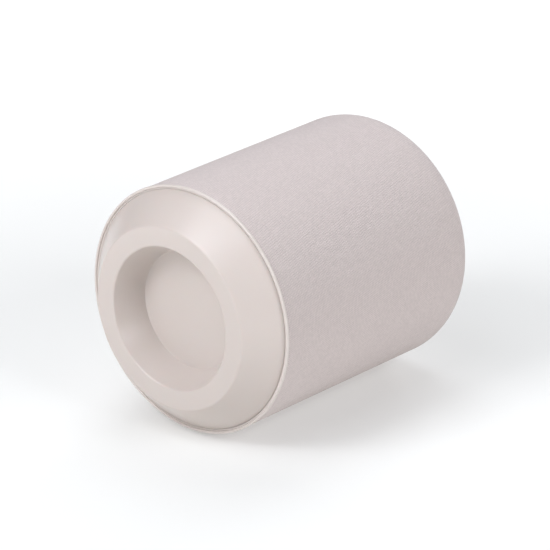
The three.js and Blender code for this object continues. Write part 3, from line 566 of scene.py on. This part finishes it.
def make_camera():
    azimuth = math.radians(CAMERA_AZIMUTH)
    elevation = math.radians(CAMERA_ELEVATION)
    back = Vector((math.sin(azimuth) * math.cos(elevation), -math.cos(azimuth) * math.cos(elevation),
                   math.sin(elevation)))
    right = Vector((math.cos(azimuth), math.sin(azimuth), 0))
    up = back.cross(right)
    aim = Vector((0, 0, AXIS_Z)) + right * AIM_RIGHT + up * AIM_UP
    data = bpy.data.cameras.new("camera")
    data.lens = CAMERA_LENS
    data.sensor_width = 36
    data.clip_start = 0.01
    camera = bpy.data.objects.new("camera", data)
    camera.location = (aim + back * CAMERA_DISTANCE) * MM
    camera.rotation_mode = "QUATERNION"
    camera.rotation_quaternion = (-back).to_track_quat("-Z", "Y")
    bpy.context.scene.collection.objects.link(camera)
    bpy.context.scene.camera = camera


def softbox(name, direction, distance, width, height, power):
    """A rectangular light that looks at the can from a direction, and stays out of the picture."""
    data = bpy.data.lights.new(name, "AREA")
    data.shape = "RECTANGLE"
    data.size = width * MM
    data.size_y = height * MM
    data.energy = power
    data.color = STUDIO_WHITE
    light = bpy.data.objects.new(name, data)
    away = Vector(direction).normalized()
    light.location = (Vector((0, 0, AXIS_Z)) + away * distance) * MM
    light.rotation_mode = "QUATERNION"
    light.rotation_quaternion = (-away).to_track_quat("-Z", "Y")
    light.visible_camera = False
    bpy.context.scene.collection.objects.link(light)


def light_the_studio():
    """Most light comes from the cap's far side, so that the wall of its recess stays in shade."""
    softbox("key_softbox", (-0.505, 0.02, 0.86), 700, 570, 420, 1.7)
    softbox("high_front_softbox", (-0.75, 0.17, 0.64), 900, 350, 350, 3.5)
    softbox("low_front_softbox", (-0.95, 0.18, 0.25), 900, 350, 250, 1.2)
    softbox("side_softbox", (0, -0.87, 0.48), 900, 500, 400, 4.2)
    softbox("back_softbox", (0.4, 0.3, 0.85), 850, 600, 600, 2.7)
    softbox("far_softbox", (0.88, 0.25, 0.4), 900, 400, 300, 1.8)
    bpy.context.scene.view_settings.view_transform = "Standard"


def make_backdrop():
    """White all round for the eye, which adds no light of its own."""
    world = bpy.data.worlds.new("studio")
    bpy.context.scene.world = world
    world.use_nodes = True
    world.node_tree.nodes["Background"].inputs["Color"].default_value = (1, 1, 1, 1)
    world.cycles_visibility.diffuse = False
    world.cycles_visibility.glossy = False


def make_floor():
    """Pale paper with a painted glow: it gives off light of its own, weakly near the speaker and more further
    away, so that it looks like an overlit backdrop.
    """
    size = 3000
    level = -0.05  # so that it doesn't share a plane with the foot strip's face
    vertices = [(-size, -size, level), (size, -size, level), (size, size, level), (-size, size, level)]
    floor = new_piece("floor", vertices, [(0, 1, 2, 3)])
    recipe = Recipe("glowing_floor_paper", (0.62, 0.62, 0.60), 0.9)
    recipe.set("Emission Color", (1, 1, 1, 1))
    distance = recipe.node("ShaderNodeVectorMath", operation="LENGTH")
    recipe.link(recipe.position, distance.inputs[0])
    # painted glow: emission strength rises from 0.3 near the speaker to 0.65 far from it
    glow = recipe.node("ShaderNodeMapRange", interpolation_type="SMOOTHSTEP")
    recipe.link(distance.outputs["Value"], glow.inputs["Value"])
    for socket, value in (("From Min", 0.10), ("From Max", 0.45), ("To Min", 0.3), ("To Max", 0.65)):
        glow.inputs[socket].default_value = value
    recipe.link(glow.outputs["Result"], recipe.shader.inputs["Emission Strength"])
    recipe.bump(recipe.noise(300, detail=4), 0.05, 0.2)
    floor.data.materials.append(recipe.material)


# ---------- outside pieces ----------

def base_cap():
    """One outline: up the inside from the back of the recess, then down the outside into it."""
    floor_x = CAP_FACE_X + RECESS_DEPTH
    ledge_x = RING_X + 0.4
    rim_back_x = CAP_FACE_X + CAP_WALL
    inner_radius = PLUG_RADIUS - CAP_WALL
    corners = [
        (0, floor_x + CAP_WALL, 0),
        (RECESS_FLOOR_RADIUS + 1.35, floor_x + CAP_WALL, 1),
        (RECESS_MOUTH_RADIUS + 1.35, rim_back_x, 0.6),
        (CAP_FACE_RADIUS - 1, rim_back_x, 0.8),
        (inner_radius, RING_X - 0.9, 0.5),
        (inner_radius, cap_high.x, 0.3),
        (PLUG_RADIUS, cap_high.x, 0.3),
        (PLUG_RADIUS, ledge_x, 0.1),
        (CAP_BASE_RADIUS, ledge_x, 0.1),
        (CAP_BASE_RADIUS, RING_X, 0.25),
        (CAP_FACE_RADIUS, CAP_FACE_X, 1.2),
        (RECESS_MOUTH_RADIUS, CAP_FACE_X, 0.8),
        (RECESS_FLOOR_RADIUS, floor_x, 0.3),
        (0, floor_x, 0),
    ]
    cap = turned("base_cap_shell", rounded(corners, closed=False), closed=False, smooth_angle=60)
    tab_low = (RING_X + 2.6, PLUG_RADIUS - 1, -3.5)
    tab_high = (RING_X + 3.8, PLUG_RADIUS + 1.4, 3.5)
    tabs = []
    for degrees in (45, 135, 225, 315):
        tab = box_piece("tab", tab_low, tab_high)
        tab.data.transform(rotation_about_axis(degrees))
        tabs.append(tab)
    join(cap, tabs, smooth_angle=60)
    place(cap, BODY, MATERIALS["ivory_plastic"], "ivory_plastic", "base_cap")


def rotation_about_axis(degrees):
    """Turns a piece drawn about the line z = 0 round X, and lifts it to the can's axis."""
    turn = Matrix.Rotation(math.radians(degrees), 4, "X")
    return Matrix.Translation((0, 0, AXIS_Z * MM)) @ turn


def trim_ring():
    inner = BODY_RADIUS - 0.95
    web = SLEEVE_RADIUS - SLEEVE_THICKNESS - 0.1
    web_inner = CAP_BASE_RADIUS + 0.1
    web_end_x = RING_X + 1.5
    groove_x = RING_X + 0.05
    step_x = RING_X + 0.7
    corners = [
        (inner, groove_x, 0),
        (inner, RING_FRONT_X, 0.42),
        (BODY_RADIUS, RING_FRONT_X, 0.42),
        (BODY_RADIUS, RING_BACK_X, 0.1),
        (web, RING_BACK_X, 0),
        (web, web_end_x, 0.1),
        (PLUG_RADIUS + GAP, web_end_x, 0.1),
        (PLUG_RADIUS + GAP, step_x, 0.1),
        (web_inner, step_x, 0),
        (web_inner, groove_x, 0),
    ]
    ring = turned("trim_ring_bead", rounded(corners, closed=True), smooth_angle=60)
    place(ring, BODY, MATERIALS["trim_plastic"], "trim_plastic", "trim_ring")


def sleeve_outline():
    """Skin from its turned edge at the trim ring, along the can and over the shoulder."""
    edge = 0.5
    start_x = RING_X + 0.38
    edge_x = start_x + edge + 0.1
    outer = [(SLEEVE_RADIUS - edge, start_x)]
    outer += arc(SLEEVE_RADIUS - edge, edge_x, edge, -90, 0, 5)
    straight_steps = 48
    length = SHOULDER_X - start_x - edge
    outer += [(SLEEVE_RADIUS, edge_x + length * i / straight_steps) for i in range(1, straight_steps)]
    outer += arc(SHOULDER_CENTRE, SHOULDER_X, SHOULDER_RADIUS, 0, 90, 24)
    inner_radius = SHOULDER_RADIUS - SLEEVE_THICKNESS
    inner = arc(SHOULDER_CENTRE, SHOULDER_X, inner_radius, 90, 0, 16)
    inner.append((SLEEVE_RADIUS - SLEEVE_THICKNESS, start_x))
    return outer + inner


def fabric_sleeve():
    sleeve = turned("fabric_sleeve_cloth", sleeve_outline(), smooth_angle=60)
    port_length = bezel_high.x - bezel_low.x + 2 * GAP
    port_width = bezel_high.z - bezel_low.z + 2 * GAP
    port = slot_piece("cutter", PORT_X, AXIS_Z, port_length, port_width,
                      [(0, CUT_FROM), (0, SLEEVE_CUT_TO)], steps=24)
    foot = foot_cutter(2 * GAP)
    cut(sleeve, [port, foot], smooth_angle=60)
    place(sleeve, BODY, MATERIALS["sleeve_fabric"], "sleeve_fabric", "fabric_sleeve")


def foot_outline(inset, z, steps=24):
    """Slot-shaped outline of the foot strip, as points at one height."""
    length = foot_high.x - foot_low.x - 2 * inset
    width = foot_high.y - foot_low.y - 2 * inset
    middle = (foot_high.x + foot_low.x) / 2
    flat = slot_ring(middle, 0, length, width, 0, steps)
    return [(point[0], point[2], z) for point in flat]


def foot_cutter(grow):
    rings = [foot_outline(-grow / 2, z) for z in (-5, AXIS_Z - 30)]
    return lofted("foot_cutter", rings)


def lofted(name, rings, smooth_angle=40):
    vertices = [point for ring in rings for point in ring]
    count = len(rings[0])
    faces = [list(range(count)), list(range(len(vertices) - count, len(vertices)))]
    for start in range(0, len(vertices) - count, count):
        for i in range(count):
            j = (i + 1) % count
            faces.append([start + i, start + j, start + count + j, start + count + i])
    return new_piece(name, vertices, faces, smooth_angle)


def foot_strip():
    edge = 0.5
    rings = [foot_outline(edge * (1 - math.sin(a)), edge * (1 - math.cos(a)))
             for a in (0, math.pi / 8, math.pi / 4, math.pi * 3 / 8, math.pi / 2)]
    rings.append(foot_outline(0, AXIS_Z - 36))
    strip = lofted("foot_strip_pad", rings)
    seat = turned("seat", [(0, -60), (39.2, -60), (39.2, 60), (0, 60)], closed=False)
    cut(strip, [seat])
    place(strip, BODY, MATERIALS["silicone"], "silicone", "foot_strip")


def key_centre(key):
    low, high = node_box(f"{key}_key")
    return (low.y + high.y) / 2, (low.z + high.z) / 2


def key_radius(key):
    low, high = node_box(f"{key}_key")
    return (high.z - low.z) / 2 - KEY_LIP


def control_panel():
    back_x = PANEL_X - PANEL_THICKNESS
    boss_end = panel_low.x
    through = (back_x - 1, PANEL_X + 1)
    corners = [(0, back_x, 0), (PANEL_RADIUS, back_x, 0.2), (PANEL_RADIUS, PANEL_X, 0.3), (0, PANEL_X, 0)]
    panel = turned("control_panel_face", rounded(corners, closed=False), closed=False)
    bosses, cutters = [], []
    for degrees in BOARD_SCREW_ANGLES:
        angle = math.radians(degrees)
        at = (BOARD_SCREW_CIRCLE * math.cos(angle), AXIS_Z + BOARD_SCREW_CIRCLE * math.sin(angle))
        bosses.append(turned("boss", rod(2.2, boss_end, back_x + 0.5), closed=False, segments=32, centre=at))
        cutters.append(turned("hole", rod(1.3, boss_end - 1, back_x), closed=False, segments=24, centre=at))
    for key in KEYS:
        hole = rod(key_radius(key) + 0.25, *through)
        cutters.append(turned("hole", hole, closed=False, segments=SMALL_ROUND, centre=key_centre(key)))
    light_low, light_high = node_box("status_light_guide")
    light_at = ((light_low.y + light_high.y) / 2, (light_low.z + light_high.z) / 2)
    cutters.append(turned("hole", rod(1.3, *through), closed=False, segments=32, centre=light_at))
    mic_low, mic_high = node_box("microphone")
    mic_at = ((mic_low.y + mic_high.y) / 2, (mic_low.z + mic_high.z) / 2)
    cutters.append(turned("hole", rod(0.6, *through), closed=False, segments=24, centre=mic_at))
    join(panel, bosses)
    cut(panel, cutters)
    place(panel, BODY, MATERIALS["ivory_plastic"], "ivory_plastic", "control_panel")

    flange, lens = 1.8, 1.1  # radii
    corners = [
        (0, light_low.x, 0),
        (flange, light_low.x, 0.1),
        (flange, light_low.x + 1, 0.1),
        (lens, light_low.x + 1, 0),
        (lens, light_high.x, 0.3),
        (0, light_high.x + 0.05, 0),
    ]
    outline = rounded(corners, closed=False)
    guide = turned("status_light_lens", outline, closed=False, segments=32, centre=light_at)
    place(guide, BODY, MATERIALS["clear_plastic"], "clear_plastic", "status_light_guide")


def rod(radius, from_x, to_x):
    return [(0, from_x), (radius, from_x), (radius, to_x), (0, to_x)]


def panel_trim():
    inner = PANEL_RADIUS + GAP
    outer = (panel_trim_high.y - panel_trim_low.y) / 2
    corners = [
        (inner, panel_trim_low.x, 0.1),
        (outer, panel_trim_low.x, 0.1),
        (outer, END_X, 0.5),
        (inner, END_X, 0.5),
    ]
    trim = turned("panel_trim_bead", rounded(corners, closed=True), smooth_angle=60)
    place(trim, BODY, MATERIALS["trim_plastic"], "trim_plastic", "panel_trim")


def make_key(key):
    low_x, high_x = node_span_x(f"{key}_key")
    radius = key_radius(key)
    edge = 0.35
    outline = rounded([
        (0, low_x, 0),
        (radius + KEY_LIP, low_x, 0.15),
        (radius + KEY_LIP, low_x + KEY_LIP, 0.15),
        (radius, low_x + KEY_LIP, 0.1),
        (radius, high_x, 0),
    ], closed=False)[:-1]
    outline += arc(radius - edge, high_x - edge, edge, 0, 80, 6)
    rim = outline[-1][0]
    steps = 8
    for i in range(1, steps + 1):
        share = 1 - i / steps  # of the way from the middle to the rim
        outline.append((rim * share, high_x - KEY_DISH * (1 - share ** 2)))
    piece = turned(f"{key}_key_cap", outline, closed=False, segments=96, centre=key_centre(key))
    place(piece, f"{key}_key_body", MATERIALS["silicone"], "silicone", f"{key}_key")
    key_symbol(key, high_x - KEY_DISH)


def symbol_shapes(key):
    """Outlines of the key's symbol as (right, away) points, for a user at the can's -Y side."""
    if key == "plus":
        return [bar(0, 0, 3.2, 0.55), bar(0, 0, 0.55, 3.2)]
    if key == "minus":
        return [bar(0, 0, 3.2, 0.55)]
    if key == "play":
        triangle = [(-3.0, -2.1), (0.7, 0), (-3.0, 2.1)]
        return [triangle, bar(1.7, 0, 0.8, 4.2), bar(3.3, 0, 0.8, 4.2)]
    if key == "power":
        return [band(1.6, 0.5, 125, 415), bar(0, 1.5, 0.5, 1.9)]
    return [band(0.25, 0.5, 0, 359.9), band(1.15, 0.42, 40, 140), band(1.95, 0.42, 40, 140),
            band(1.15, 0.42, 220, 320), band(1.95, 0.42, 220, 320)]


def bar(right, away, width, height):
    return [(right - width / 2, away - height / 2), (right + width / 2, away - height / 2),
            (right + width / 2, away + height / 2), (right - width / 2, away + height / 2)]


def band(radius, width, from_degrees, to_degrees, steps=28):
    def side(r, start, end):
        angles = [math.radians(start + (end - start) * i / steps) for i in range(steps + 1)]
        return [(r * math.cos(a), r * math.sin(a)) for a in angles]
    outer = side(radius + width / 2, from_degrees, to_degrees)
    inner = side(max(radius - width / 2, 0.01), to_degrees, from_degrees)
    return outer + inner


def key_symbol(key, face_x):
    """Raised symbol, let into the middle of the key's dished face and standing a little out of it."""
    depth, height = 0.1, 0.12
    centre_y, centre_z = key_centre(key)
    parts = []
    for shape in symbol_shapes(key):
        rings = [[(x, centre_y + away, centre_z - right) for right, away in shape]
                 for x in (face_x - depth, face_x + height)]
        parts.append(lofted(f"{key}_symbol", rings))
    symbol = parts[0]
    if len(parts) > 1:
        join(symbol, parts[1:])
    symbol.name = f"{key}_symbol_mark"
    place(symbol, f"{key}_key_body", SYMBOL_INK, "silicone")


def symbol_ink():
    return moulded_plastic("symbol_ink", (0.17, 0.155, 0.145), 0.5, grain_strength=0.05).material


SYMBOL_INK = symbol_ink()


def port_bezel():
    """Slot-shaped frame round the flap, with a floor that the two sockets stand in."""
    back = bezel_low.y
    floor = back + 1.5
    length = bezel_high.x - bezel_low.x
    width = bezel_high.z - bezel_low.z
    inset = (length - (flap_high.x - flap_low.x)) / 2 - GAP
    edge = 0.35
    corner = [(edge * (1 - math.sin(a)), PORT_FACE_Y - edge * (1 - math.cos(a)))
              for a in (math.pi / 2, math.pi * 3 / 8, math.pi / 4, math.pi / 8, 0)]
    inner_corner = [(inset - i, y) for i, y in reversed(corner)]
    stations = [(0, back)] + corner + inner_corner + [(inset, back)]
    bezel = slot_piece("port_bezel_frame", PORT_X, AXIS_Z, length, width, stations, closed=True, steps=24)
    overlap = 0.6
    plate = slot_piece("plate", PORT_X, AXIS_Z, length - 2 * inset + overlap, width - 2 * inset + overlap,
                       [(0, back), (0, floor)], steps=24)
    usb_low, usb_high = node_box("usb_c_socket")
    aux_low, aux_high = node_box("aux_jack")
    usb_x = (usb_low.x + usb_high.x) / 2
    aux_x = (aux_low.x + aux_high.x) / 2
    usb_hole = slot_piece("hole", usb_x, AXIS_Z, 9.6, 3.9, [(0, CUT_FROM), (0, BEZEL_CUT_TO)])
    aux_hole = turned_about_y("hole", aux_x, AXIS_Z, [(3.3, CUT_FROM), (3.3, BEZEL_CUT_TO)], 48)
    cut(plate, [usb_hole, aux_hole])
    join(bezel, [plate])
    place(bezel, BODY, MATERIALS["ivory_plastic"], "ivory_plastic", "port_bezel")


def turned_about_y(name, x, z, stations, segments):
    """A piece lofted through circles of (radius, y) round a line along Y."""
    rings = []
    for radius, y in stations:
        angles = [2 * math.pi * i / segments for i in range(segments)]
        rings.append([(x + radius * math.cos(a), y, z + radius * math.sin(a)) for a in angles])
    return lofted(name, rings)


def port_flap():
    """Soft door with a plug for each socket and a finger lip on its upper edge."""
    length = flap_high.x - flap_low.x
    back = PORT_FACE_Y - 1.6
    edge = 0.4
    angles = [math.pi / 2 * i / 5 for i in range(6)]
    outer_edge = [(edge * (1 - math.cos(a)), PORT_FACE_Y - edge * (1 - math.sin(a))) for a in angles]
    stations = [(0.25, back), (0, back + 0.25)] + outer_edge
    flap = slot_piece("port_flap_door", PORT_X, AXIS_Z, length, FLAP_WIDTH, stations, steps=24)
    usb_low, usb_high = node_box("usb_c_socket")
    aux_low, aux_high = node_box("aux_jack")
    usb_x = (usb_low.x + usb_high.x) / 2
    aux_x = (aux_low.x + aux_high.x) / 2
    tip, taper_end, root = back - 1.1, back - 0.8, back + 0.5
    usb_plug = slot_piece("plug", usb_x, AXIS_Z, 7.4, 1.8, [(0.3, tip), (0, taper_end), (0, root)])
    aux_plug = turned_about_y("plug", aux_x, AXIS_Z, [(1.1, tip), (1.4, taper_end), (1.4, root)], 32)
    lip = slot_piece("lip", PORT_X, AXIS_Z + 3.9, 8.0, 1.0,
                     [(0, PORT_FACE_Y - 0.5), (0, PORT_FACE_Y + 0.15), (0.25, PORT_FACE_Y + 0.4)])
    join(flap, [usb_plug, aux_plug, lip])
    place(flap, "port_flap_body", MATERIALS["silicone"], "silicone", "port_flap")


def usb_socket():
    low, high = node_box("usb_c_socket")
    middle = (low.x + high.x) / 2
    mouth = high.y
    seat = low.y
    wall = 0.3
    lip = 0.1
    well_floor = seat + 3
    outside = [(0, seat), (0, mouth - lip), (lip, mouth)]
    inside = [(wall - lip, mouth), (wall, mouth - lip), (wall, well_floor)]
    shell = slot_piece("usb_c_socket_shell", middle, AXIS_Z, 9.0, 3.3, outside + inside)
    tongue = box_piece("usb_c_socket_tongue", (middle - 3.3, well_floor - lip, AXIS_Z - 0.35),
                       (middle + 3.3, mouth - 0.7, AXIS_Z + 0.35), bevel=0.12)
    base = box_piece("base", (middle - 5, seat, AXIS_Z - 2.6),
                     (middle + 5, seat + 2.6, AXIS_Z + 2.6), bevel=0.2)
    join(shell, [base])
    place(shell, BODY, MATERIALS["pressed_steel"], "pressed_steel", "usb_c_socket")
    place(tongue, BODY, MATERIALS["inner_plastic"], "inner_plastic")


# ---------- soft rings of the two moving cones ----------

FLEX_SECTORS = 16
FLEX_STEPS = 6  # along each sector


def half_roll(inner_land, roll_inner, roll_outer, outer_land, land_x, thickness, side):
    """Outline of a half-round roll between two flat lands. Side is the way along X that it bulges."""
    middle = (roll_inner + roll_outer) / 2
    radius = (roll_outer - roll_inner) / 2
    flatness = 0.85
    outline = [(inner_land, land_x + side * thickness)]
    for r, lift in arc(middle, 0, radius, 180, 0, 14):
        outline.append((r, land_x + side * (flatness * lift + thickness)))
    outline += [(outer_land, land_x + side * thickness), (outer_land, land_x)]
    for r, lift in arc(middle, 0, radius - thickness, 0, 180, 14):
        outline.append((r, land_x + side * flatness * lift))
    outline.append((inner_land, land_x))
    return outline


def corrugated(inner, outer, middle_x, wave_height, waves, thickness, steps=36):
    """Outline of a waved disc."""
    top = []
    for i in range(steps + 1):
        wave = wave_height * math.sin(2 * math.pi * waves * i / steps)
        top.append((inner + (outer - inner) * i / steps, middle_x + wave + thickness / 2))
    bottom = [(r, x - thickness) for r, x in reversed(top)]
    return top + bottom


def flexing_ring(node, outline):
    """A soft ring between the can and a moving body, lofted in sectors, each round its own middle angle."""
    slot = SLOT_OF_NODE[node]
    sector_angle = 2 * math.pi / FLEX_SECTORS
    for sector in range(FLEX_SECTORS):
        middle = sector_angle * sector
        rings = []
        for step in range(FLEX_STEPS + 1):
            angle = middle + sector_angle * (step / FLEX_STEPS - 0.5)
            rings.append([(x, r * math.cos(angle), AXIS_Z + r * math.sin(angle)) for r, x in outline])
        piece = lofted(f"{node}_sector_{sector + 1}", rings, smooth_angle=60)
        piece.data.materials.append(MATERIALS[slot])
        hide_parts(node)
        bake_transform(piece)


def driver_surround():
    land_x = node_span_x("driver_surround")[0]
    roll_inner, roll_outer = 19.6, 24.1
    outline = half_roll(17.6, roll_inner, roll_outer, 26.5, land_x, thickness=0.4, side=1)
    flexing_ring("driver_surround", outline)


def spider():
    coil_low, coil_high = node_box("voice_coil")
    low, high = node_box("spider")
    inner = (coil_high.y - coil_low.y) / 2 + 0.4
    outer = (high.y - low.y) / 2
    outline = corrugated(inner, outer, (low.x + high.x) / 2, wave_height=0.35, waves=1.5, thickness=0.4)
    flexing_ring("spider", outline)


def radiator_surround():
    """Soft ring of the passive radiator: a half roll between two flat lands, bulging towards -X, its outer
    land reaching the node's radius.
    """
    low, high = node_box("radiator_surround")
    roll_inner, roll_outer = 20.6, 25.4
    outer_land = (high.y - low.y) / 2
    outline = half_roll(18.6, roll_inner, roll_outer, outer_land, high.x, thickness=0.5, side=-1)
    flexing_ring("radiator_surround", outline)


finish_cad_nodes()
make_camera()
light_the_studio()
make_backdrop()
make_floor()
base_cap()
trim_ring()
fabric_sleeve()
foot_strip()
control_panel()
panel_trim()
for key_name in KEYS:
    make_key(key_name)
port_bezel()
port_flap()
usb_socket()
driver_surround()
spider()
radiator_surround()
